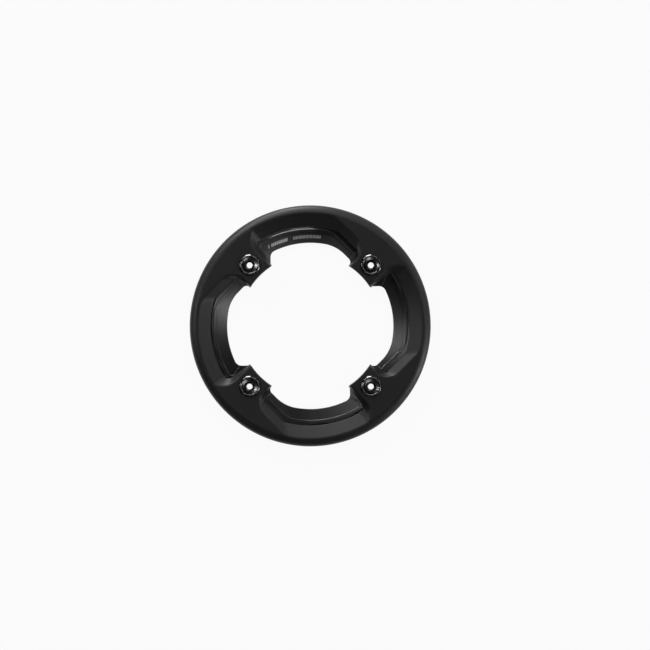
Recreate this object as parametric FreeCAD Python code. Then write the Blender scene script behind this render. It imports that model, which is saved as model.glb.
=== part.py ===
# Chainring guard with its narrow-wide chainring, hollow bolts and sleeve nuts.
#
# The part lies flat with its outer (front) face up. The origin is on the main axis, in the plane
# where the back of the guard's four tabs seats on the carrier's tabs. The carrier fills the gap
# between the guard's tabs and the chainring's tabs, which stays open here.
# All sizes are in millimetres, and angles are in degrees, counted from +X towards +Y.

import os
import math
import FreeCAD
import Part
from FreeCAD import Vector

os.makedirs("parts", exist_ok=True)

# Carrier interface
bolt_circle = 104.0
bolt_count = 4
first_bolt_angle = 45.0
carrier_tab = 4.5
sleeve_diameter = 10.0
sleeve_play = 0.1

# Guard ring
guard_diameter = 146.4
guard_front = 3.2
guard_back = 2.2
rim_round = 4.6
rim_facets = 4
edge_break = 0.3

# Guard tabs, measured from the centre of each bolt
guard_tab_half = 8.4
guard_tab_reach = 8.7
carrier_pocket_half = 14.0
carrier_pocket_end = 9.0
carrier_pocket_corner = 4.0

# Guard pockets: each slopes from a crest on the front face down to a lip round the window
crest_inset = 4.8
lip_inset = 12.7
lip_drop = 0.6
lead_in_inset_crest = 10.7
lead_in_inset_lip = 7.7
lead_in_fillet_crest = 10.0
lead_in_fillet_lip = 5.0
lead_in_bend = 10.0
lead_in_straight = 0.2
lead_in_foot = 1.2
run_out_fillet_crest = 12.0
run_out_fillet_lip = 4.0
run_out_overlap_crest = 2.5
run_out_overlap_lip = 0.05
run_out_foot = 3.5
run_out_foot_inner = 0.9

# Coring in the back of the guard
core_wall = 2.2
core_roof = 2.4
core_channel = 4.6
core_rib = 1.6
core_rib_count = 30
shoulder_core_width = 2.6
shoulder_core_gap = 1.2
shoulder_core_start = -7.0
shoulder_core_end = 20.0
shoulder_core_count = 3

# Chainring
tooth_count = 32
chain_pitch = 12.7
roller_diameter = 7.75
seat_ratio = 0.505
seat_arc_half = 60.0
tooth_height = 2.15
tip_half_width = 1.15
ring_thickness = 3.5
narrow_tooth = 2.1
narrow_relief = 0.8
tooth_bevel_start = 1.6
band_width = 3.5
band_outer_inset = 2.1
tooth_step = 0.6
web_width = 6.75
web_recess = 0.9

# Chainring tabs, measured from the centre of each bolt
ring_tab_half = 9.3
ring_tab_reach = 8.7
ring_shoulder = 6.5
ring_shoulder_fillet = 3.0
ring_shoulder_bend = 22.0
ring_run_out_foot = 1.0
ring_run_out_angle = 46.5
ring_run_out_fillet = 4.4
recess_step = 3.4
recess_lead_in = 12.0
recess_bend = 12.0
recess_run_out = 14.8
recess_run_out_tilt = 0.3
recess_corner = 2.0

# Fasteners
head_diameter = 12.8
head_top_diameter = 10.6
head_height = 1.4
socket_width = 5.0
socket_depth = 2.6
bolt_bore = 3.5
thread_diameter = 8.0
thread_play = 0.05
bolt_grip_end = 1.4
nut_flange_diameter = 13.6
nut_flange = 1.4
nut_flange_sink = 1.0
nut_flange_play = 0.2
nut_sleeve_end = 0.8
nut_slot_width = 1.6
nut_slot_depth = 0.7

# Levels and radii that follow from the sizes above
bolt_radius = bolt_circle / 2
guard_radius = guard_diameter / 2
sleeve_radius = sleeve_diameter / 2
sleeve_hole = sleeve_radius + sleeve_play
crest_radius = guard_radius - crest_inset
lip_radius = guard_radius - lip_inset
lip_level = -lip_drop
ring_front = -carrier_tab
ring_back = ring_front - ring_thickness
tooth_front = ring_front - tooth_step
tooth_middle = (tooth_front + ring_back) / 2
pitch_radius = chain_pitch / (2 * math.sin(math.pi / tooth_count))
seat_radius = seat_ratio * roller_diameter
root_radius = pitch_radius - seat_radius
tip_radius = pitch_radius + tooth_height
band_outer = root_radius - band_outer_inset
web_outer = root_radius - band_width
web_inner = web_outer - web_width
head_top = guard_front + head_height
nut_seat = ring_back + nut_flange_sink
nut_bottom = nut_seat - nut_flange
nut_top = guard_front - nut_sleeve_end
bolt_bottom = nut_seat + bolt_grip_end
overrun = 3.0
past_crest = 1.25
window_turn = 360.0 / bolt_count

UP = Vector(0, 0, 1)
ORIGIN = Vector(0, 0, 0)


def polar(radius, degrees, z=0.0):
    """A point at a radius and an angle about the main axis."""
    angle = math.radians(degrees)
    return Vector(radius * math.cos(angle), radius * math.sin(angle), z)


def arc_about(centre, start, end):
    """The shorter arc from start to end about a centre, all at one level."""
    out = (start - centre) + (end - centre)
    middle = centre + out.normalize() * (start - centre).Length
    return Part.Arc(start, middle, end).toShape()


def line(start, end):
    return Part.LineSegment(start, end).toShape()


def spin(corners):
    """A solid of revolution about the main axis, from the corners of half its section."""
    face = Part.Face(Part.makePolygon(corners + corners[:1]))
    return face.revolve(ORIGIN, UP, 360)


def wedge(inner, outer, low, high, start, end):
    """A straight-walled block between two radii and two angles about the main axis."""
    corners = [polar(inner, start, low), polar(outer, start, low)]
    corners += [polar(outer, end, low), polar(inner, end, low)]
    face = Part.Face(Part.makePolygon(corners + corners[:1]))
    return face.extrude(UP * (high - low))


def tube(radius, low, high, centre=ORIGIN):
    """A plain cylinder along the main axis direction."""
    return Part.makeCylinder(radius, high - low, centre + UP * low, UP)


def turned(shape, degrees):
    copy = shape.copy()
    copy.rotate(ORIGIN, UP, degrees)
    return copy


def round_the_bolts(shape):
    """One copy of a shape for each bolt, from a master whose bolt lies on +X."""
    return [turned(shape, first_bolt_angle + k * window_turn) for k in range(bolt_count)]


def bolt_centre(k):
    return polar(bolt_radius, first_bolt_angle + k * window_turn)


def prism(edges, low, high):
    """A straight-walled block over an outline that lies at any level."""
    face = Part.Face(Part.Wire(edges))
    face.translate(Vector(0, 0, low - face.BoundBox.ZMin))
    return face.extrude(UP * (high - low))


def corner_with_circle(x, radius, fillet):
    """Fillet inside the corner of the line at x and a circle about the main axis.

    Returns the centre, the point on the line and the point on the circle.
    """
    reach = radius - fillet
    cx = x - fillet
    cy = math.sqrt(reach ** 2 - cx ** 2)
    centre = Vector(cx, cy, 0)
    on_line = Vector(x, cy, 0)
    on_circle = centre * (radius / reach)
    return centre, on_line, on_circle


def circles_meet(centre, fillet, radius):
    """Where a circle about centre meets the circle about the axis, on its far side from the bolt line."""
    distance = centre.Length
    along = (distance ** 2 + radius ** 2 - fillet ** 2) / (2 * distance)
    across = math.sqrt(radius ** 2 - along ** 2)
    out = centre * (1 / distance)
    side = Vector(-out.y, out.x, 0)
    return out * along + side * across


def tilted_corner(low, way, radius, fillet):
    """Fillet inside the corner of the line from low along way and a circle about the main axis.

    Returns the centre, the point on the line and the point on the circle.
    """
    inward = Vector(way.y, -way.x, 0)
    base = low + inward * fillet
    reach = radius - fillet
    along = -base.dot(way) + math.sqrt(base.dot(way) ** 2 - base.Length ** 2 + reach ** 2)
    centre = base + way * along
    on_line = low + way * along
    on_circle = centre * (radius / reach)
    return centre, on_line, on_circle


def is_upright(edge):
    """True for a straight edge along the main axis."""
    return edge.BoundBox.ZLength > edge.BoundBox.XLength + edge.BoundBox.YLength


def window_outline(level):
    """Outline of one guard window. Level is 0 at the lip and 1 at the crest.

    The bolt before the window lies on +X, and the bolt after it lies on +Y (for four bolts).
    """
    def between(lip, crest):
        return lip + (crest - lip) * level

    z = lip_level + (guard_front - lip_level) * level
    radius = between(lip_radius, crest_radius)
    lead_in = radius - between(lead_in_inset_lip, lead_in_inset_crest)
    bend_centre, bend_start, bend_end = corner_with_circle(lead_in, radius, lead_in_bend)
    side = guard_tab_half + between(lead_in_foot, 0.0)
    wall = bend_start.y - side - lead_in_straight
    fillet = min(between(lead_in_fillet_lip, lead_in_fillet_crest), wall)
    run_out = guard_tab_half + between(run_out_foot, 0.0)
    run_out_inner = guard_tab_half + between(run_out_foot_inner, 0.0)
    end_fillet = between(run_out_fillet_lip, run_out_fillet_crest)
    overlap = between(run_out_overlap_lip, run_out_overlap_crest)
    inner_y = bolt_radius - guard_tab_reach - overrun

    fillet_centre = Vector(lead_in - fillet, side + fillet, 0)
    fillet_start = Vector(lead_in - fillet, side, 0)
    fillet_end = Vector(lead_in, side + fillet, 0)
    end_x = run_out + end_fillet
    end_centre = Vector(end_x, math.sqrt((radius - end_fillet + overlap) ** 2 - end_x ** 2), 0)
    end_start = circles_meet(end_centre, end_fillet, radius)
    end_stop = Vector(run_out, end_centre.y, 0)
    inner_stop = Vector(run_out_inner, inner_y, 0)
    hub_corner = Vector(run_out_inner, side, 0)

    edges = [
        line(hub_corner, fillet_start),
        arc_about(fillet_centre, fillet_start, fillet_end),
        line(fillet_end, bend_start),
        arc_about(bend_centre, bend_start, bend_end),
        arc_about(ORIGIN, bend_end, end_start),
        arc_about(end_centre, end_start, end_stop),
        line(end_stop, inner_stop),
        line(inner_stop, hub_corner),
    ]
    for edge in edges:
        edge.translate(Vector(0, 0, z))
    return edges


def guard_blank():
    """The full ring before its windows are opened: a flat front with a rounded rim."""
    inner = bolt_radius - guard_tab_reach
    rim_centre = Vector(guard_radius - rim_round, 0, guard_front - rim_round)
    rim = []
    for k in range(rim_facets + 1):
        swing = math.radians(90.0 * k / rim_facets)
        rim.append(rim_centre + Vector(rim_round * math.cos(swing), 0, rim_round * math.sin(swing)))
    foot = Vector(guard_radius - (guard_front + guard_back - rim_round), 0, -guard_back)
    inner_low = Vector(inner, 0, -guard_back)
    inner_edge = Vector(inner, 0, guard_front - edge_break)
    inner_top = Vector(inner + edge_break, 0, guard_front)
    return spin([inner_low, foot] + rim + [inner_top, inner_edge])


def window_cutter():
    """A funnel that slopes from the crest to the lip, then drops straight through the back."""
    low = Part.Wire(window_outline(0.0))
    high = Part.Wire(window_outline(past_crest))
    funnel = Part.makeLoft([low, high], True, True)
    throat = prism(window_outline(0.0), -guard_back - overrun, lip_level)
    return funnel, throat


def carrier_pocket():
    """The relief behind each tab that the end of the carrier's tab sits in."""
    half = carrier_pocket_half
    corner = carrier_pocket_corner
    inner = bolt_radius - guard_tab_reach - overrun
    length = bolt_radius + carrier_pocket_end - inner
    low = -guard_back - overrun
    block = Part.makeBox(length, 2 * half, -low, Vector(inner, -half, low))
    outer_edges = [edge for edge in block.Edges if is_upright(edge) and edge.CenterOfMass.x > bolt_radius]
    return block.makeFillet(corner, outer_edges)


def guard_cores():
    """Pockets in the back that keep the moulding's walls even, with ribs left between them."""
    roof = guard_front - core_roof
    low = -guard_back - overrun
    outer = guard_radius - core_wall
    inner = outer - core_channel
    rib_angle = math.degrees(core_rib / outer)
    step = 360.0 / core_rib_count
    cores = []
    for k in range(core_rib_count):
        start = k * step + rib_angle / 2
        cores.append(wedge(inner, outer, low, roof, start, (k + 1) * step - rib_angle / 2))
    shoulder_outer = inner - shoulder_core_gap
    shoulder_inner = shoulder_outer - shoulder_core_width
    span = (shoulder_core_end - shoulder_core_start) / shoulder_core_count
    for k in range(shoulder_core_count):
        start = shoulder_core_start + k * span
        block = wedge(shoulder_inner, shoulder_outer, low, roof, start, start + span - rib_angle)
        cores += round_the_bolts(block)
    return cores


def make_guard():
    guard = guard_blank()
    funnel, throat = window_cutter()
    guard = guard.cut(round_the_bolts(funnel))
    guard = guard.cut(round_the_bolts(throat))
    guard = guard.cut(round_the_bolts(carrier_pocket()))
    guard = guard.cut(guard_cores())
    holes = []
    for k in range(bolt_count):
        holes.append(tube(sleeve_hole, -overrun, guard_front + overrun, bolt_centre(k)))
    return guard.cut(holes)


def tooth_outline():
    """Outline of every tooth: a round roller seat, then a straight flank up to a flat tip."""
    step = 360.0 / tooth_count
    seats = []
    for k in range(tooth_count):
        centre = polar(pitch_radius, k * step)
        points = []
        for swing in (-seat_arc_half, 0.0, seat_arc_half):
            points.append(centre + polar(seat_radius, k * step + 180.0 - swing))
        seats.append(points)
    tip_angle = math.degrees(tip_half_width / tip_radius)
    edges = []
    for k in range(tooth_count):
        before, bottom, after = seats[k]
        following = seats[(k + 1) % tooth_count][0]
        tooth_angle = (k + 0.5) * step
        tip_start = polar(tip_radius, tooth_angle - tip_angle)
        tip_end = polar(tip_radius, tooth_angle + tip_angle)
        edges.append(Part.Arc(before, bottom, after).toShape())
        edges.append(line(after, tip_start))
        edges.append(line(tip_start, tip_end))
        edges.append(line(tip_end, following))
    return edges


def ring_blank():
    """The turned chainring blank: a raised band, a step down to the wide teeth, and their bevelled tips."""
    inner = bolt_radius - ring_tab_reach
    bevel = root_radius + tooth_bevel_start
    edge = tip_radius + overrun
    slope = (tooth_front - ring_back - narrow_tooth) / 2 / (tip_radius - bevel)
    drop = slope * (edge - bevel)
    return spin([
        Vector(inner, 0, ring_back),
        Vector(bevel, 0, ring_back),
        Vector(edge, 0, ring_back + drop),
        Vector(edge, 0, tooth_front - drop),
        Vector(bevel, 0, tooth_front),
        Vector(band_outer + tooth_step, 0, tooth_front),
        Vector(band_outer, 0, ring_front),
        Vector(inner, 0, ring_front),
    ])


def narrow_tooth_cutters():
    """Relief on both faces of every second tooth, which reaches past the root to let mud out."""
    step = 360.0 / tooth_count
    inner = root_radius - narrow_relief
    outer = tip_radius + overrun
    face = narrow_tooth / 2
    cutters = []
    for k in range(0, tooth_count, 2):
        start = k * step
        cutters.append(wedge(inner, outer, tooth_middle + face, ring_front + overrun, start, start + step))
        cutters.append(wedge(inner, outer, ring_back - overrun, tooth_middle - face, start, start + step))
    return cutters


def ring_opening():
    """Outline of one opening in the chainring, from the tab on +X to the tab on +Y."""
    shoulder = bolt_radius - ring_shoulder
    fillet = ring_shoulder_fillet
    start = Vector(shoulder - fillet, ring_tab_half, 0)
    turn_centre = Vector(shoulder - fillet, ring_tab_half + fillet, 0)
    turn_end = Vector(shoulder, ring_tab_half + fillet, 0)
    bend_centre, bend_start, bend_end = corner_with_circle(shoulder, web_inner, ring_shoulder_bend)
    tab_inner = bolt_radius - ring_tab_reach
    foot_x = ring_tab_half - ring_run_out_foot
    foot = Vector(foot_x, tab_inner - ring_run_out_foot, 0)
    way = polar(1.0, ring_run_out_angle)
    end_centre, end_stop, end_start = tilted_corner(foot, way, web_inner, ring_run_out_fillet)
    hub_corner = Vector(foot_x, ring_tab_half, 0)
    return [
        line(hub_corner, start),
        arc_about(turn_centre, start, turn_end),
        line(turn_end, bend_start),
        arc_about(bend_centre, bend_start, bend_end),
        arc_about(ORIGIN, bend_end, end_start),
        arc_about(end_centre, end_start, end_stop),
        line(end_stop, foot),
        line(foot, hub_corner),
    ]


def recess_outline(band=0.0):
    """Outline of the recess round one opening, or of the raised band round it where band is its width."""
    outer = web_outer + band
    step_x = bolt_radius - ring_shoulder + recess_step + band
    corner = recess_corner
    bend_centre, bend_start, bend_end = corner_with_circle(step_x, outer, recess_bend + band)
    start = Vector(step_x, recess_lead_in, 0)
    shoulder_y = bolt_radius - ring_tab_reach
    low = Vector(recess_run_out, shoulder_y, 0)
    way = Vector(-recess_run_out_tilt, 1.0, 0).normalize()
    end_centre, on_line, on_circle = tilted_corner(low, way, outer, corner)
    hub_corner = Vector(recess_run_out, recess_lead_in, 0)
    return [
        line(hub_corner, start),
        line(start, bend_start),
        arc_about(bend_centre, bend_start, bend_end),
        arc_about(ORIGIN, bend_end, on_circle),
        arc_about(end_centre, on_circle, on_line),
        line(on_line, low),
        line(low, hub_corner),
    ]


def lead_in_relief():
    """Space outside the raised band at the lead-in, as low as the wide teeth."""
    band = band_outer - web_outer
    inner = bolt_radius - ring_shoulder + recess_step
    bend_end = corner_with_circle(inner + band, band_outer, recess_bend + band)[2]
    corner = Vector(inner, recess_lead_in, tooth_front)
    width = bend_end.y - recess_lead_in
    block = Part.makeBox(band_outer - inner, width, tooth_step + overrun, corner)
    return block.cut(prism(recess_outline(band), tooth_front - overrun, ring_front + 2 * overrun))


def make_chainring():
    teeth = prism(tooth_outline(), ring_back, ring_front)
    ring = ring_blank().common(teeth)
    ring = ring.cut(narrow_tooth_cutters())
    opening = prism(ring_opening(), ring_back - overrun, ring_front + overrun)
    ring = ring.cut(round_the_bolts(opening))
    recess = prism(recess_outline(), ring_front - web_recess, ring_front + overrun)
    ring = ring.cut(round_the_bolts(recess))
    ring = ring.cut(round_the_bolts(lead_in_relief()))
    holes = []
    for k in range(bolt_count):
        holes.append(tube(sleeve_hole, ring_back - overrun, ring_front + overrun, bolt_centre(k)))
        flange = nut_flange_diameter / 2 + nut_flange_play
        holes.append(tube(flange, ring_back - overrun, nut_seat, bolt_centre(k)))
    return ring.cut(holes)


def hex_socket(low, high):
    """Six-sided driver socket on the axis."""
    corner_radius = socket_width / 2 / math.cos(math.radians(30.0))
    corners = [polar(corner_radius, k * 60.0, low) for k in range(6)]
    return Part.Face(Part.makePolygon(corners + corners[:1])).extrude(UP * (high - low))


def make_bolt():
    """Hollow bolt on the axis: a low tapered head over a threaded shank."""
    head = head_diameter / 2
    shank = thread_diameter / 2 - thread_play
    bore = bolt_bore / 2
    bolt = spin([
        Vector(bore, 0, bolt_bottom),
        Vector(shank, 0, bolt_bottom),
        Vector(shank, 0, guard_front),
        Vector(head, 0, guard_front),
        Vector(head_top_diameter / 2, 0, head_top),
        Vector(bore, 0, head_top),
    ])
    return bolt.cut(hex_socket(head_top - socket_depth, head_top + overrun))


def make_nut():
    """Sleeve nut on the axis: a flange behind the chainring and a sleeve through all the tabs."""
    flange = nut_flange_diameter / 2
    bore = thread_diameter / 2
    nut = spin([
        Vector(bore, 0, nut_bottom),
        Vector(flange, 0, nut_bottom),
        Vector(flange, 0, nut_seat),
        Vector(sleeve_radius, 0, nut_seat),
        Vector(sleeve_radius, 0, nut_top),
        Vector(bore, 0, nut_top),
    ])
    length = nut_flange_diameter + overrun
    corner = Vector(-length / 2, -nut_slot_width / 2, nut_bottom - overrun)
    slot = Part.makeBox(length, nut_slot_width, overrun + nut_slot_depth, corner)
    return nut.cut(slot)


def save(shape, node):
    """Write one solid as one file, named for its node."""
    solid = shape.Solids[0]
    print(node, "solids", len(shape.Solids), "valid", solid.isValid(), "volume", round(solid.Volume, 1))
    solid.exportStep("parts/" + node + ".step")


save(make_guard(), "guard")
save(make_chainring(), "chainring")

bolt_master = make_bolt()
nut_master = make_nut()
for k in range(bolt_count):
    bolt = turned(bolt_master, first_bolt_angle + k * window_turn)
    bolt.translate(bolt_centre(k))
    save(bolt, "bolt_" + str(k + 1))
    nut = turned(nut_master, first_bolt_angle + k * window_turn)
    nut.translate(bolt_centre(k))
    save(nut, "nut_" + str(k + 1))
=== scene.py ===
import math
import bmesh
import bpy
import numpy as np
from mathutils import Matrix, Vector
from mathutils.geometry import delaunay_2d_cdt


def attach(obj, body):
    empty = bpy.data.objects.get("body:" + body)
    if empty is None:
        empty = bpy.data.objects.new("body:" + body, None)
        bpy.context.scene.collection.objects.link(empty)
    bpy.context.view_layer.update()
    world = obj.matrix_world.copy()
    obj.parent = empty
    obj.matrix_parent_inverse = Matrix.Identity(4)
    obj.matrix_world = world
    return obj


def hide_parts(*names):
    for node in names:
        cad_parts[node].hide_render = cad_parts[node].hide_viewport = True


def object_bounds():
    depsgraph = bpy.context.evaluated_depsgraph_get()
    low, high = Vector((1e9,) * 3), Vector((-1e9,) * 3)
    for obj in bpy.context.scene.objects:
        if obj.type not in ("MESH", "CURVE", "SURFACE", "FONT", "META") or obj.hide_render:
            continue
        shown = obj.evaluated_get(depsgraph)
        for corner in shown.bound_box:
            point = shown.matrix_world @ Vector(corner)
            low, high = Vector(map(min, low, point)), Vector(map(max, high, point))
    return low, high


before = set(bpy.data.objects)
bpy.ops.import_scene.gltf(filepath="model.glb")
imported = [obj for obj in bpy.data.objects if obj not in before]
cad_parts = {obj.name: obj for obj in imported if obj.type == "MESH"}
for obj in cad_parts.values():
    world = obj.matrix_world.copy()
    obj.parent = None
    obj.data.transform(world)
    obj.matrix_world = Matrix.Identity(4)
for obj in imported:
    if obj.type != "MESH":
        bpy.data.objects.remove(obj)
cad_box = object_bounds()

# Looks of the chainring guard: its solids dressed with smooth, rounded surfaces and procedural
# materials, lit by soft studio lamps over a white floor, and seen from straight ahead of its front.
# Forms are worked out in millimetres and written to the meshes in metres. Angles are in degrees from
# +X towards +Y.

MM = 0.001

# The view: image size in pixels, scale in the plane of the guard's front, and the main axis's pixel
image_side = 650.0
pixels_per_mm = 1.651
focal_pixels = 3027.0
axis_pixel = (310.2, 325.9)
sensor_width = 36.0
nearest_seen = 0.01
farthest_seen = 20.0

# Bolts and levels
bolt_count = 4
first_bolt_angle = 45.0
bolt_radius = 52.0
front = 3.2
guard_back = -2.2
tab_back = 0.0
web_level = -5.4

# Guard; a pair gives a size at the lip and the same size at the crest
guard_radius = 73.17
rim_start = 68.0
rim_depth = 4.1
rim_power = 1.6
rim_side = 71.6
foot_radius = 72.4
crest_radius = 68.4
lip_radius = 60.5
lip_level = -0.6
tab_half = 8.4
tab_inner = 43.3
lead_in_inset = (7.7, 10.7)
lead_in_fillet = (5.0, 10.0)
lead_in_foot = (1.2, 0.0)
lead_in_bend = 10.0
run_out_foot = (3.5, 0.0)
run_out_foot_inner = (0.9, 0.0)
run_out_fillet = (4.0, 12.0)
run_out_overlap = (0.05, 2.5)
run_out_inner_y = 40.3
past_crest = 1.25
pocket_half = 14.0
pocket_end = 61.0
hole_radius = 5.1
crest_softness = 0.9
edge_softness = 0.45
lip_softness = 0.35
full_softness_run = 2.0
least_miter = 0.6
handle_share = 0.62

# The flat front's fill: where it ends, the circles of extra points, and how far those stay off the crest
cap_circle = 70.6
cap_rings = (66.0, 67.2, 68.0, 68.2, 68.5, 68.9, 69.4, 69.9, 70.3)
ring_clearance = 0.5

# The rim's foot: how far its side leans in and drops, then its rows' places out from the foot's circle
# and up from the back
side_lean = 0.06
side_drop = 0.35
foot_rows = ((0.3, 0.25), (0.1, 0.06), (0.0, 0.0))

# Marks on the web of the chainring: a stroke's two edges, the angle to the next stroke, and how many
mark_inner = 53.4
mark_outer = 55.3
mark_slant = -0.7
mark_height = 0.02
hatch_stroke = (105.2, 106.15)
hatch_step = 1.25
hatch_count = 9
lone_stroke = (117.6, 118.3)
tick_stroke = (83.5, 83.87)
tick_step = 0.9
tick_count = 20

# Bolt
bolt_bottom = -5.6
shank_radius = 3.95
shank_chamfer = 0.4
neck_row = 0.2
head_radius = 6.4
head_chamfer = 0.1
head_top = 4.6
ridge_radius = 5.4
ridge_rounding = 0.9
ridge_slope = 42.0
dish_radius = 4.79
dish_inner = 3.2
dish_level = 4.1
dish_bend = 0.022
socket_flat = 2.5
socket_floor = 2.0
socket_mouth = 0.22
socket_foot = 0.1
bore_radius = 1.75
bore_mouth = 0.4
bore_mouth_depth = 0.2
bore_chamfer = 0.15

# Steps round the guard, a hole and a bolt, and along each stretch of a window's edge
turn_steps = 360
hole_steps = 64
bolt_steps = 96
side_steps = 6
lead_in_fillet_steps = 26
lead_in_steps = 10
lead_in_bend_steps = 16
long_arc_steps = 70
run_out_fillet_steps = 34
run_out_steps = 16

# Small roundings of the copied solids, the angles from which an edge counts as sharp, and the angle up to
# which two faces count as one flat face
ring_bevel = 0.15
nut_bevel = 0.2
bevel_segments = 2
copy_sharp = 32.0
guard_sharp = 35.0
bolt_sharp = 25.0
flat_enough = 0.05

# Tolerances: in millimetres, and the last two, for welding, in metres
same_place = 1e-4
no_length = 1e-5
fill_weld = 1e-6
on_level = 0.01
on_circle = 0.02
weld_new = 1e-6
weld_solid = 2e-6

# Materials: dark and light colour, roughness from and to, and refractive index
nylon_dark = (0.0042, 0.0042, 0.0043)
nylon_light = (0.0058, 0.0058, 0.0059)
nylon_rough = (0.38, 0.48)
nylon_ior = 1.5
black_dark = (0.003, 0.003, 0.0032)
black_light = (0.005, 0.005, 0.0052)
ring_rough = (0.28, 0.29)
ring_ior = 1.95
bolt_rough = (0.14, 0.15)
bolt_ior = 2.0
nut_dark = (0.008, 0.008, 0.0085)
nut_light = (0.012, 0.012, 0.0125)
nut_rough = (0.25, 0.38)
nut_ior = 1.6
mark_dark = (0.50, 0.50, 0.51)
mark_light = (0.75, 0.75, 0.75)
mark_rough = (0.5, 0.65)
mark_ior = 1.45

# The middle of a noise's values, stretched to a full range
colour_middle = (0.35, 0.65)
rough_middle = (0.3, 0.7)
full_range = (0.0, 1.0)

# Floor and room: the floor's half width in metres, its gap below the object in millimetres, its grey, its
# glow to the camera and in reflections, and the strength of the room
floor_half = 4.0
floor_gap = 0.05
floor_grey = 0.6
floor_glow = 0.94
room_strength = 0.004

# Lamps, in metres: their sizes, and how far away they hang
box_size = (0.36, 0.36)
bank_size = (0.8, 0.6)
grazing_size = (0.6, 0.36)
slit_size = (0.05, 0.4)
slot_size = (0.26, 0.3)
near_distance = 1.3
far_distance = 3.0

# Each lamp: its name, polar angle from the main axis, azimuth, power in watts, size and distance
lamps = [
    ("key_above_left", 62, 125, 4.5, box_size, near_distance),
    ("side_right_low", 72, 340, 3.8, box_size, near_distance),
    ("side_right", 72, 30, 0.9, box_size, near_distance),
    ("side_upper_right", 72, 60, 0.6, box_size, near_distance),
    ("box_left", 52, 172, 1.9, box_size, near_distance),
    ("box_low_left", 52, 230, 0.3, box_size, near_distance),
    ("box_low_right", 62, 320, 0.7, box_size, near_distance),
    ("upper_right", 32, 60, 0.6, box_size, near_distance),
    ("grazing_above", 83, 101, 9.0, grazing_size, near_distance),
    ("bank_above", 52, 90, 2.2, bank_size, near_distance),
    ("bank_upper_right", 52, 45, 0.6, bank_size, near_distance),
    ("bank_right", 52, 0, 1.6, bank_size, near_distance),
    ("bank_below", 52, 280, 0.4, bank_size, near_distance),
    ("slit_left", 12, 169, 2.4, slit_size, far_distance),
    ("slot_low_right", 10, 300, 1.2, slot_size, far_distance),
]


def turned(point, degrees):
    angle = math.radians(degrees)
    c, s = math.cos(angle), math.sin(angle)
    return Vector((point[0] * c - point[1] * s, point[0] * s + point[1] * c))


def bolt_angle(k):
    """Angle of a bolt; k counts from 0."""
    return first_bolt_angle + k * 360.0 / bolt_count


def bolt_centre(k):
    return turned((bolt_radius, 0), bolt_angle(k))


def arc_points(centre, start, end, count):
    """Points on the shorter arc from start to end, without the last."""
    a = math.atan2(start[1] - centre[1], start[0] - centre[0])
    b = math.atan2(end[1] - centre[1], end[0] - centre[0])
    sweep = (b - a + math.pi) % (2 * math.pi) - math.pi
    radius = math.hypot(start[0] - centre[0], start[1] - centre[1])
    return [Vector((centre[0] + radius * math.cos(a + sweep * k / count),
                    centre[1] + radius * math.sin(a + sweep * k / count))) for k in range(count)]


def line_points(start, end, count):
    """Points on the line from start to end, without the last."""
    return [Vector(start).lerp(Vector(end), k / count) for k in range(count)]


def window_path(level):
    """Edge of one window at a level, 0 at the lip and 1 at the crest, from one tab's corner to the next's.

    The bolt before the window lies on +X, and the bolt after it on +Y.
    """
    def between(pair):
        return pair[0] + (pair[1] - pair[0]) * level

    radius = between((lip_radius, crest_radius))
    lead_in = radius - between(lead_in_inset)
    fillet = between(lead_in_fillet)
    run_out = tab_half + between(run_out_foot)
    inner = Vector((tab_half + between(run_out_foot_inner), run_out_inner_y))
    end_fillet = between(run_out_fillet)
    reach = radius - lead_in_bend
    bend_centre = Vector((lead_in - lead_in_bend, math.sqrt(reach ** 2 - (lead_in - lead_in_bend) ** 2)))
    bend_start = Vector((lead_in, bend_centre.y))
    bend_end = bend_centre * (radius / reach)
    end_x = run_out + end_fillet
    end_reach = radius - end_fillet + between(run_out_overlap)
    end_centre = Vector((end_x, math.sqrt(end_reach ** 2 - end_x ** 2)))
    along = (end_reach ** 2 + radius ** 2 - end_fillet ** 2) / (2 * end_reach)
    out = end_centre / end_reach
    end_start = out * along + Vector((-out.y, out.x)) * math.sqrt(radius ** 2 - along ** 2)
    end_stop = Vector((run_out, end_centre.y))
    side = tab_half + between(lead_in_foot)
    first = Vector((math.sqrt(tab_inner ** 2 - side ** 2), side))
    fillet_start = Vector((lead_in - fillet, side))
    fillet_end = Vector((lead_in, side + fillet))
    way = (inner - end_stop).normalized()
    step = -end_stop.dot(way) - math.sqrt(end_stop.dot(way) ** 2 - end_stop.length_squared + tab_inner ** 2)
    last = end_stop + way * step
    points = line_points(first, fillet_start, side_steps)
    points += arc_points((lead_in - fillet, side + fillet), fillet_start, fillet_end, lead_in_fillet_steps)
    points += line_points(fillet_end, bend_start, lead_in_steps)
    points += arc_points(bend_centre, bend_start, bend_end, lead_in_bend_steps)
    points += arc_points((0, 0), bend_end, end_start, long_arc_steps)
    points += arc_points(end_centre, end_start, end_stop, run_out_fillet_steps)
    points += line_points(end_stop, last, run_out_steps)
    return points, first, last


def in_pocket(point):
    """True where a point, in a window's own frame, lies in the relief behind a tab."""
    first = abs(point.y) < pocket_half and point.x < pocket_end
    second = abs(point.x) < pocket_half and point.y < pocket_end
    return first or second


def outer_height(radius):
    """Height of the guard's flat front and of its rim, which bends down early and ends upright."""
    over = max(radius - rim_start, 0.0) / (guard_radius - rim_start)
    return front - rim_depth * (1 - math.sqrt(max(1 - over ** rim_power, 0.0)))


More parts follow.
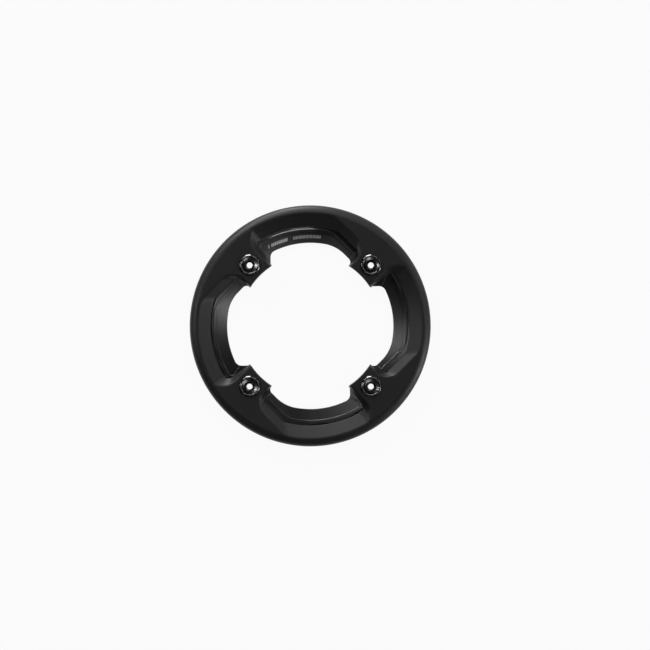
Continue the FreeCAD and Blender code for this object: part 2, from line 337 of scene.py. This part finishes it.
def guard_columns():
    """The guard's inner edge, as columns from the crest down.

    Each has its crest point, its lowest point, whether that lies at the tab's back and not on the lip,
    and whether a break follows.
    """
    far, first_far, last_far = window_path(past_crest)
    low, first, last = window_path(0.0)
    crest = [a.lerp(b, 1 / past_crest) for a, b in zip(low, far)]
    first_crest = first.lerp(first_far, 1 / past_crest)
    last_crest = last.lerp(last_far, 1 / past_crest)
    tab_level = (tab_back - lip_level) / (front - lip_level)
    halvings = 20
    columns = []
    for a, b in zip(crest, low):
        at_tab = b.lerp(a, tab_level)
        inside = in_pocket(at_tab)
        if columns and columns[-1][2] != inside:
            crest_before, _, inside_before, _, low_before = columns[-1]
            near, away = 0.0, 1.0
            for _ in range(halvings):
                middle = (near + away) / 2
                test = low_before.lerp(b, middle).lerp(crest_before.lerp(a, middle), tab_level)
                if in_pocket(test) == inside_before:
                    near = middle
                else:
                    away = middle
            edge_crest, edge_low = crest_before.lerp(a, near), low_before.lerp(b, near)
            for state, gap in ((inside_before, True), (inside, False)):
                end = edge_low.lerp(edge_crest, tab_level) if state else edge_low
                columns.append((edge_crest, end, state, gap, edge_low))
        end = at_tab if inside else b
        columns.append((a, end, inside, False, b))
    first_low = first.lerp(first_crest, tab_level)
    last_low = last.lerp(last_crest, tab_level)
    top_start, top_end = math.atan2(last_crest.y, last_crest.x), math.atan2(first_crest.x, -first_crest.y)
    low_start, low_end = math.atan2(last_low.y, last_low.x), math.atan2(first_low.x, -first_low.y)
    tab_steps = 20
    for k in range(tab_steps):
        a = top_start + (top_end - top_start) * k / tab_steps
        b = low_start + (low_end - low_start) * k / tab_steps
        top = Vector((tab_inner * math.cos(a), tab_inner * math.sin(a)))
        bottom = Vector((tab_inner * math.cos(b), tab_inner * math.sin(b)))
        columns.append((top, bottom, True, False, bottom))
    result = []
    for k in range(bolt_count):
        for top, end, inside, gap, _ in columns:
            result.append((turned(top, bolt_angle(k)), turned(end, bolt_angle(k)), inside, gap))
    return result


def bezier(p0, p1, p2, p3, s):
    r = 1 - s
    return p0 * r ** 3 + p1 * (3 * r * r * s) + p2 * (3 * r * s * s) + p3 * s ** 3


def guard_front_sheet(work):
    """The whole front of the guard: flat, rim, soft crests, sloped pockets and the walls of the tabs."""
    columns = guard_columns()
    count = len(columns)
    soft_rows = 8
    slope_rows = 6
    lip_rows = 4
    probe = 0.01
    sheet = []
    tops = [c[0] for c in columns]
    for k, (top, end, inside, _) in enumerate(columns):
        before, after = k - 1, (k + 1) % count
        while (tops[before] - top).length < same_place:
            before -= 1
        while (tops[after] - top).length < same_place:
            after = (after + 1) % count
        e1 = (top - tops[before]).normalized()
        e2 = (tops[after] - top).normalized()
        n1, n2 = Vector((e1.y, -e1.x)), Vector((e2.y, -e2.x))
        out = (n1 + n2).normalized()
        miter = 1 / max(out.dot(n1), least_miter)
        run = (end - top).length
        share = min(run / full_softness_run, 1.0)
        soft = edge_softness + (crest_softness - edge_softness) * share * share * (3 - 2 * share)
        high = Vector((top.x, top.y, outer_height(top.length)))
        low = Vector((end.x, end.y, tab_back if inside else lip_level))
        down = (low - high).normalized()
        start = top + out * soft * miter
        radius = start.length
        start = Vector((start.x, start.y, outer_height(radius)))
        fall = (outer_height(radius - probe) - outer_height(radius + probe)) / (2 * probe)
        radial = Vector((start.x, start.y, 0)).normalized()
        flat_in = Vector((-out.x, -out.y, 0))
        start_way = Vector((flat_in.x, flat_in.y, -flat_in.dot(radial) * fall)).normalized()
        stop = high + down * soft
        handle = soft * handle_share
        column = [bezier(start, start + start_way * handle * miter, stop - down * handle, stop, r / soft_rows)
                  for r in range(soft_rows)]
        if inside:
            column += [stop.lerp(low, r / slope_rows) for r in range(slope_rows + 1)]
            column += [low] * lip_rows
        else:
            near = low - down * lip_softness
            under = low - Vector((0, 0, lip_softness))
            column += [stop.lerp(near, r / slope_rows) for r in range(slope_rows)]
            for r in range(lip_rows + 1):
                s = r / lip_rows
                column.append(near * (1 - s) ** 2 + low * (2 * s * (1 - s)) + under * s ** 2)
        sheet.append(column)
    verts = [[work.verts.new(p * MM) for p in column] for column in sheet]
    for k in range(count):
        if columns[k][3]:
            continue
        a, b = verts[k], verts[(k + 1) % count]
        pa, pb = sheet[k], sheet[(k + 1) % count]
        for r in range(len(a) - 1):
            if (pa[r] - pa[r + 1]).length < no_length and (pb[r] - pb[r + 1]).length < no_length:
                continue
            work.faces.new((a[r], b[r], b[r + 1], a[r + 1]))
    add_cap(work, [column[0] for column in sheet])
    add_rim(work)


def inside_loop(points, loop):
    """Which points lie inside a closed loop, by crossings."""
    x, y = points[:, 0:1], points[:, 1:2]
    ax, ay = loop[:, 0], loop[:, 1]
    bx, by = np.roll(ax, -1), np.roll(ay, -1)
    crosses = (ay > y) != (by > y)
    width = np.where(by == ay, 1.0, by - ay)
    at = (bx - ax) * (y - ay) / width + ax
    return (np.sum(crosses & (x < at), axis=1) % 2) == 1


def circle(radius, count, centre=(0, 0)):
    return [Vector((centre[0] + radius * math.cos(2 * math.pi * k / count),
                    centre[1] + radius * math.sin(2 * math.pi * k / count))) for k in range(count)]


def add_cap(work, inner):
    """Front face between the soft crests, the bolt holes and the rim, filled with even triangles."""
    loop = []
    for p in inner:
        flat = Vector((p.x, p.y))
        if not loop or (flat - loop[-1]).length > same_place:
            loop.append(flat)
    loops = [loop, circle(cap_circle, turn_steps)]
    loops += [circle(hole_radius, hole_steps, bolt_centre(k)) for k in range(bolt_count)]
    points, edges = [], []
    for one in loops:
        base = len(points)
        points += one
        edges += [(base + k, base + (k + 1) % len(one)) for k in range(len(one))]
    inner_array = np.array([p[:] for p in loop])
    rings = []
    for radius in cap_rings:
        rings += circle(radius, turn_steps)
    ring_array = np.array([p[:] for p in rings])
    gap = np.min(np.hypot(ring_array[:, None, 0] - inner_array[None, :, 0],
                          ring_array[:, None, 1] - inner_array[None, :, 1]), axis=1)
    keep = ~inside_loop(ring_array, inner_array) & (gap > ring_clearance)
    points += [p for p, good in zip(rings, keep) if good]
    verts, _, faces, _, _, _ = delaunay_2d_cdt(points, edges, [], 0, fill_weld)
    flat = np.array([v[:] for v in verts])
    triangles = np.array(faces)
    centres = flat[triangles].mean(axis=1)
    good = ~inside_loop(centres, inner_array) & (np.hypot(centres[:, 0], centres[:, 1]) < cap_circle)
    for k in range(bolt_count):
        centre = bolt_centre(k)
        good &= np.hypot(centres[:, 0] - centre[0], centres[:, 1] - centre[1]) > hole_radius - on_circle
    made = [work.verts.new(Vector((v[0], v[1], outer_height(math.hypot(*v)))) * MM) for v in flat]
    for triangle, use in zip(triangles, good):
        if use:
            work.faces.new([made[k] for k in triangle])


def add_rim(work):
    """The rounded rim and its foot, turned about the main axis."""
    profile = []
    steps = 16
    for k in range(steps + 1):
        radius = guard_radius - (guard_radius - cap_circle) * (1 - k / steps) ** 2
        profile.append((radius, outer_height(radius)))
    profile.append((guard_radius - side_lean, front - rim_depth - side_drop))
    profile += [(foot_radius + out, guard_back + up) for out, up in foot_rows]
    lathe(work, profile, turn_steps)


def lathe(work, profile, count, centre=(0, 0), closed=False, shape=None):
    """Surface of revolution from (radius, height) pairs; shape may bend a row's radius by its angle."""
    rows = []
    for k, (radius, height) in enumerate(profile):
        row = []
        for step in range(count):
            angle = 2 * math.pi * step / count
            r = shape(k, radius, angle) if shape else radius
            row.append(work.verts.new(Vector((centre[0] + r * math.cos(angle),
                                              centre[1] + r * math.sin(angle), height)) * MM))
        rows.append(row)
    pairs = list(zip(rows, rows[1:]))
    if closed:
        pairs.append((rows[-1], rows[0]))
    for a, b in pairs:
        for k in range(count):
            work.faces.new((a[k], a[(k + 1) % count], b[(k + 1) % count], b[k]))


def keep_guard_back(work):
    """Deletes the solid's own front, rim and tab ends, which the new sheet takes over."""
    facing_front = 0.01
    facing_back = -0.99
    upright = 0.05
    gone = []
    for face in work.faces:
        points = [v.co / MM for v in face.verts]
        radii = [math.hypot(p.x, p.y) for p in points]
        lean = face.normal.z
        rim_face = lean > facing_back and min(radii) > rim_side
        tab_end = abs(lean) < upright and all(abs(r - tab_inner) < on_circle for r in radii)
        if lean > facing_front or rim_face or tab_end:
            gone.append(face)
    bmesh.ops.delete(work, geom=gone, context="FACES")
    for vert in work.verts:
        if abs(vert.co.z / MM - lip_level) < on_level:
            vert.co.z -= lip_softness * MM


def solid_copy(node):
    work = bmesh.new()
    work.from_mesh(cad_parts[node].data)
    bmesh.ops.remove_doubles(work, verts=work.verts, dist=weld_solid)
    work.normal_update()
    return work


def smooth_object(name, work, material, sharp):
    """Turns a working mesh into an object that is smooth apart from its sharp edges."""
    mesh = bpy.data.meshes.new(name)
    work.to_mesh(mesh)
    work.free()
    mesh.materials.append(material)
    for polygon in mesh.polygons:
        polygon.use_smooth = True
    mesh.set_sharp_from_angle(angle=math.radians(sharp))
    piece = bpy.data.objects.new(name, mesh)
    bpy.context.scene.collection.objects.link(piece)
    return piece


def even_normals(piece):
    """Lets the larger faces round a vertex set how it is shaded."""
    even = piece.modifiers.new("even_normals", "WEIGHTED_NORMAL")
    even.keep_sharp = True
    return even


def dress(piece, node):
    """Puts a piece in the place of its solid."""
    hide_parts(node)
    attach(piece, "root")


def finished_piece(name, work, node, material, sharp):
    """A new mesh that stands for a solid."""
    bmesh.ops.remove_doubles(work, verts=work.verts, dist=weld_new)
    bmesh.ops.recalc_face_normals(work, faces=work.faces)
    piece = smooth_object(name, work, material, sharp)
    even_normals(piece)
    dress(piece, node)


def bevelled_copy(node, name, width, material):
    """A copy of a solid whose sharp edges are rounded by a small bevel."""
    work = solid_copy(node)
    bmesh.ops.dissolve_limit(work, angle_limit=math.radians(flat_enough), verts=work.verts, edges=work.edges)
    piece = smooth_object(name, work, material, copy_sharp)
    rounding = piece.modifiers.new("rounded_edges", "BEVEL")
    rounding.width = width * MM
    rounding.segments = bevel_segments
    rounding.limit_method = "ANGLE"
    rounding.angle_limit = math.radians(copy_sharp)
    rounding.use_clamp_overlap = False
    rounding.miter_outer = "MITER_SHARP"
    rounding.loop_slide = True
    strongest_weight = 100
    even_normals(piece).weight = strongest_weight
    dress(piece, node)


def make_guard(material):
    work = solid_copy("guard")
    keep_guard_back(work)
    guard_front_sheet(work)
    finished_piece("guard_body", work, "guard", material, guard_sharp)


def socket_shape(first_hex, last_hex):
    """Bends the rows of the socket from a circle to a hexagon, the first a little wider than the rest."""
    def shape(row, radius, angle):
        if row < first_hex or row > last_hex:
            return radius
        side = (angle + math.pi / 6) % (math.pi / 3) - math.pi / 6
        wider = socket_mouth if row == first_hex else 0.0
        return socket_flat / math.cos(side) + wider
    return shape


def make_bolt(k, material):
    """Hollow bolt with a rounded ridge on its flange, round a shallow dish and the socket."""
    slope = math.radians(ridge_slope)
    cone = (head_radius - ridge_radius - ridge_rounding * math.sin(slope)) * math.tan(slope)
    edge_level = head_top - ridge_rounding * (1 - math.cos(slope)) - cone
    profile = [(bore_radius, bolt_bottom + bore_chamfer), (bore_radius + bore_chamfer, bolt_bottom)]
    profile += [(shank_radius - shank_chamfer, bolt_bottom), (shank_radius, bolt_bottom + shank_chamfer)]
    profile += [(shank_radius, front - neck_row), (shank_radius, front)]
    profile += [(head_radius - head_chamfer, front), (head_radius, front + head_chamfer)]
    profile.append((head_radius, edge_level))
    steps = 8
    for s in range(2 * steps + 1):
        lean = slope * (1 - s / steps)
        profile.append((ridge_radius + ridge_rounding * math.sin(lean),
                        head_top - ridge_rounding * (1 - math.cos(lean))))
    for s in range(steps + 1):
        radius = dish_radius + (dish_inner - dish_radius) * s / steps
        profile.append((radius, dish_level - dish_bend / 2 * (dish_radius ** 2 - radius ** 2)))
    mouth_level = profile[-1][1]
    first_hex = len(profile)
    profile += [(0, mouth_level), (0, mouth_level - socket_mouth), (0, socket_floor + socket_foot)]
    last_hex = len(profile) - 1
    profile += [(bore_radius + bore_mouth, socket_floor), (bore_radius, socket_floor - bore_mouth_depth)]
    work = bmesh.new()
    lathe(work, profile, bolt_steps, bolt_centre(k - 1), True, socket_shape(first_hex, last_hex))
    finished_piece("bolt_%d_body" % k, work, "bolt_%d" % k, material, bolt_sharp)


class Graph:
    """Short way to add shader nodes and links to one material."""

    def __init__(self, name):
        self.material = bpy.data.materials.new(name)
        self.material.use_nodes = True
        self.tree = self.material.node_tree
        self.tree.nodes.clear()
        self.output = self.tree.nodes.new("ShaderNodeOutputMaterial")

    def node(self, kind, **settings):
        node = self.tree.nodes.new(kind)
        for key, value in settings.items():
            setattr(node, key, value)
        return node

    def link(self, start, end):
        self.tree.links.new(start, end)

    def principled(self, ior):
        shader = self.node("ShaderNodeBsdfPrincipled")
        shader.inputs["IOR"].default_value = ior
        self.link(shader.outputs[0], self.output.inputs[0])
        return shader

    def position(self):
        return self.node("ShaderNodeTexCoord").outputs["Object"]

    def noise(self, scale, detail, rough, vector=None):
        noise = self.node("ShaderNodeTexNoise")
        noise.inputs["Scale"].default_value = scale
        noise.inputs["Detail"].default_value = detail
        noise.inputs["Roughness"].default_value = rough
        self.link(vector or self.position(), noise.inputs["Vector"])
        return noise.outputs["Fac"]

    def math(self, operation, first, second=None):
        node = self.node("ShaderNodeMath", operation=operation)
        for socket, value in zip(node.inputs, (first, second)):
            if value is None:
                continue
            if isinstance(value, (int, float)):
                socket.default_value = value
            else:
                self.link(value, socket)
        return node.outputs[0]

    def mixed(self, first, second, share):
        """Sum of a share of the first value and the rest of the second."""
        return self.math("ADD", self.math("MULTIPLY", first, share), self.math("MULTIPLY", second, 1 - share))

    def spread(self, value, source, result):
        """Value moved smoothly from one range to another."""
        node = self.node("ShaderNodeMapRange", interpolation_type="SMOOTHSTEP")
        self.link(value, node.inputs["Value"])
        for key, number in zip(("From Min", "From Max", "To Min", "To Max"), source + result):
            node.inputs[key].default_value = number
        return node.outputs["Result"]

    def blend(self, factor, first, second):
        node = self.node("ShaderNodeMix", data_type="RGBA")
        self.link(factor, node.inputs["Factor"])
        node.inputs["A"].default_value = (*first, 1.0)
        node.inputs["B"].default_value = (*second, 1.0)
        return node.outputs["Result"]

    def bump(self, height, strength, distance):
        node = self.node("ShaderNodeBump")
        node.inputs["Strength"].default_value = strength
        node.inputs["Distance"].default_value = distance
        self.link(height, node.inputs["Height"])
        return node.outputs["Normal"]

    def radius(self):
        """Distance from the main axis, in metres."""
        parts = self.node("ShaderNodeSeparateXYZ")
        self.link(self.position(), parts.inputs[0])
        x, y = parts.outputs["X"], parts.outputs["Y"]
        return self.math("SQRT", self.math("ADD", self.math("MULTIPLY", x, x), self.math("MULTIPLY", y, y)))


def moulded_nylon():
    """Black glass-filled nylon: a fine moulded grain with faint flow marks."""
    g = Graph("moulded_nylon")
    shader = g.principled(nylon_ior)
    grain = g.noise(scale=5200.0, detail=3.0, rough=0.6)
    flow = g.noise(scale=45.0, detail=3.0, rough=0.55)
    mottle = g.noise(scale=420.0, detail=2.0, rough=0.5)
    shade = g.spread(g.mixed(flow, mottle, share=0.6), colour_middle, full_range)
    g.link(g.blend(shade, nylon_dark, nylon_light), shader.inputs["Base Color"])
    g.link(g.spread(g.mixed(grain, flow, share=0.5), rough_middle, nylon_rough), shader.inputs["Roughness"])
    g.link(g.bump(grain, strength=0.3, distance=0.00002), shader.inputs["Normal"])
    return g.material


def anodised(name, rough, dark, light, ior, turned_grain=False):
    """Black anodised aluminium, whose turned grain, if it has one, runs round the main axis."""
    g = Graph(name)
    shader = g.principled(ior)
    patch = g.noise(scale=60.0, detail=3.0, rough=0.5)
    grit = g.noise(scale=3800.0, detail=2.0, rough=0.6)
    g.link(g.blend(g.spread(patch, colour_middle, full_range), dark, light), shader.inputs["Base Color"])
    g.link(g.spread(g.mixed(patch, grit, share=0.5), rough_middle, rough), shader.inputs["Roughness"])
    if turned_grain:
        quarter_turn = 0.25
        shader.inputs["Anisotropic"].default_value = 1.0
        shader.inputs["Anisotropic Rotation"].default_value = quarter_turn
        tangent = g.node("ShaderNodeTangent", direction_type="RADIAL", axis="Z")
        g.link(tangent.outputs[0], shader.inputs["Tangent"])
        ring = g.node("ShaderNodeCombineXYZ")
        g.link(g.radius(), ring.inputs["X"])
        grooves = g.noise(scale=2600.0, detail=2.0, rough=0.5, vector=ring.outputs[0])
        normal = g.bump(grooves, strength=0.06, distance=0.00002)
    else:
        normal = g.bump(grit, strength=0.1, distance=0.00001)
    g.link(normal, shader.inputs["Normal"])
    return g.material


def etched_mark():
    """Pale laser-etched mark."""
    g = Graph("etched_mark")
    shader = g.principled(mark_ior)
    speck = g.noise(scale=6000.0, detail=2.0, rough=0.5)
    g.link(g.blend(speck, mark_dark, mark_light), shader.inputs["Base Color"])
    g.link(g.spread(speck, rough_middle, mark_rough), shader.inputs["Roughness"])
    g.link(g.bump(speck, strength=0.2, distance=0.00001), shader.inputs["Normal"])
    return g.material


def add_mark(work, start, end, slant=0.0):
    """One thin flat stroke on the chainring's web, between two angles, whose outer end leans by slant."""
    corners = [(mark_inner, start), (mark_outer, start + slant), (mark_outer, end + slant), (mark_inner, end)]
    rows = []
    for level in (web_level, web_level + mark_height):
        row = []
        for radius, angle in corners:
            flat = turned((radius, 0), angle)
            row.append(work.verts.new(Vector((flat.x, flat.y, level)) * MM))
        rows.append(row)
    for k in range(4):
        work.faces.new((rows[0][k], rows[0][(k + 1) % 4], rows[1][(k + 1) % 4], rows[1][k]))
    work.faces.new(rows[0][::-1])
    work.faces.new(rows[1])


def make_marks(material):
    """Plain etched hatching and a row of fine ticks on the web, with no letters or numbers."""
    work = bmesh.new()
    for k in range(hatch_count):
        add_mark(work, hatch_stroke[0] + hatch_step * k, hatch_stroke[1] + hatch_step * k, mark_slant)
    add_mark(work, lone_stroke[0], lone_stroke[1], mark_slant)
    for k in range(tick_count):
        add_mark(work, tick_stroke[0] + tick_step * k, tick_stroke[1] + tick_step * k)
    bmesh.ops.recalc_face_normals(work, faces=work.faces)
    mesh = bpy.data.meshes.new("web_marks")
    work.to_mesh(mesh)
    work.free()
    mesh.materials.append(material)
    piece = bpy.data.objects.new("web_marks", mesh)
    bpy.context.scene.collection.objects.link(piece)
    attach(piece, "root")


def make_camera():
    """Straight ahead of the front face, a little to one side of the main axis."""
    data = bpy.data.cameras.new("camera")
    data.sensor_width = sensor_width
    data.lens = focal_pixels / image_side * sensor_width
    data.clip_start = nearest_seen
    data.clip_end = farthest_seen
    camera = bpy.data.objects.new("camera", data)
    bpy.context.scene.collection.objects.link(camera)
    side = (image_side / 2 - axis_pixel[0]) / pixels_per_mm
    up = (axis_pixel[1] - image_side / 2) / pixels_per_mm
    camera.location = Vector((side, up, front + focal_pixels / pixels_per_mm)) * MM
    bpy.context.scene.camera = camera


def soft_light(name, polar, azimuth, power, size, distance):
    """A soft lamp aimed at the object, whose width runs across the azimuth."""
    data = bpy.data.lights.new(name, "AREA")
    data.shape = "RECTANGLE"
    data.size, data.size_y = size
    data.energy = power
    lamp = bpy.data.objects.new(name, data)
    bpy.context.scene.collection.objects.link(lamp)
    tilt, turn = math.radians(polar), math.radians(azimuth)
    away = Vector((math.sin(tilt) * math.cos(turn), math.sin(tilt) * math.sin(turn), math.cos(tilt)))
    across = Vector((-math.sin(turn), math.cos(turn), 0.0))
    axes = Matrix((across, away.cross(across), away)).transposed().to_4x4()
    lamp.matrix_world = Matrix.Translation(away * distance) @ axes


def make_floor():
    """White floor that keeps a faint shadow, and looks white to the camera and in reflections."""
    g = Graph("white_floor")
    diffuse = g.node("ShaderNodeBsdfDiffuse")
    diffuse.inputs["Color"].default_value = (floor_grey, floor_grey, floor_grey, 1.0)
    glow = g.node("ShaderNodeEmission")
    rays = g.node("ShaderNodeLightPath")
    mix = g.node("ShaderNodeMixShader")
    seen = g.math("MAXIMUM", rays.outputs["Is Camera Ray"], rays.outputs["Is Glossy Ray"])
    seen = g.math("MAXIMUM", seen, rays.outputs["Is Transmission Ray"])
    g.link(g.math("MULTIPLY", seen, floor_glow), mix.inputs[0])
    g.link(diffuse.outputs[0], mix.inputs[1])
    g.link(glow.outputs[0], mix.inputs[2])
    g.link(mix.outputs[0], g.output.inputs[0])
    mesh = bpy.data.meshes.new("floor")
    half = floor_half
    level = cad_box[0].z - floor_gap * MM
    mesh.from_pydata([(-half, -half, level), (half, -half, level), (half, half, level), (-half, half, level)],
                     [], [(0, 1, 2, 3)])
    mesh.materials.append(g.material)
    floor = bpy.data.objects.new("floor", mesh)
    bpy.context.scene.collection.objects.link(floor)


def make_world():
    """A nearly dark room, which the camera sees as white."""
    world = bpy.data.worlds.new("studio")
    bpy.context.scene.world = world
    world.use_nodes = True
    tree = world.node_tree
    tree.nodes.clear()
    out = tree.nodes.new("ShaderNodeOutputWorld")
    mix = tree.nodes.new("ShaderNodeMixShader")
    room = tree.nodes.new("ShaderNodeBackground")
    room.inputs["Color"].default_value = (1.0, 1.0, 1.0, 1.0)
    room.inputs["Strength"].default_value = room_strength
    seen = tree.nodes.new("ShaderNodeBackground")
    seen.inputs["Color"].default_value = (1.0, 1.0, 1.0, 1.0)
    rays = tree.nodes.new("ShaderNodeLightPath")
    tree.links.new(rays.outputs["Is Camera Ray"], mix.inputs[0])
    tree.links.new(room.outputs[0], mix.inputs[1])
    tree.links.new(seen.outputs[0], mix.inputs[2])
    tree.links.new(mix.outputs[0], out.inputs[0])


make_camera()
nylon = moulded_nylon()
ring_finish = anodised("turned_anodised", ring_rough, black_dark, black_light, ring_ior, turned_grain=True)
bolt_finish = anodised("bolt_anodised", bolt_rough, black_dark, black_light, bolt_ior)
nut_finish = anodised("nut_anodised", nut_rough, nut_dark, nut_light, nut_ior)

make_guard(nylon)
bevelled_copy("chainring", "chainring_body", ring_bevel, ring_finish)
for k in range(1, bolt_count + 1):
    make_bolt(k, bolt_finish)
    bevelled_copy("nut_%d" % k, "nut_%d_body" % k, nut_bevel, nut_finish)

make_marks(etched_mark())

make_floor()
make_world()
for lamp in lamps:
    soft_light(*lamp)

bpy.context.scene.view_settings.view_transform = "Standard"
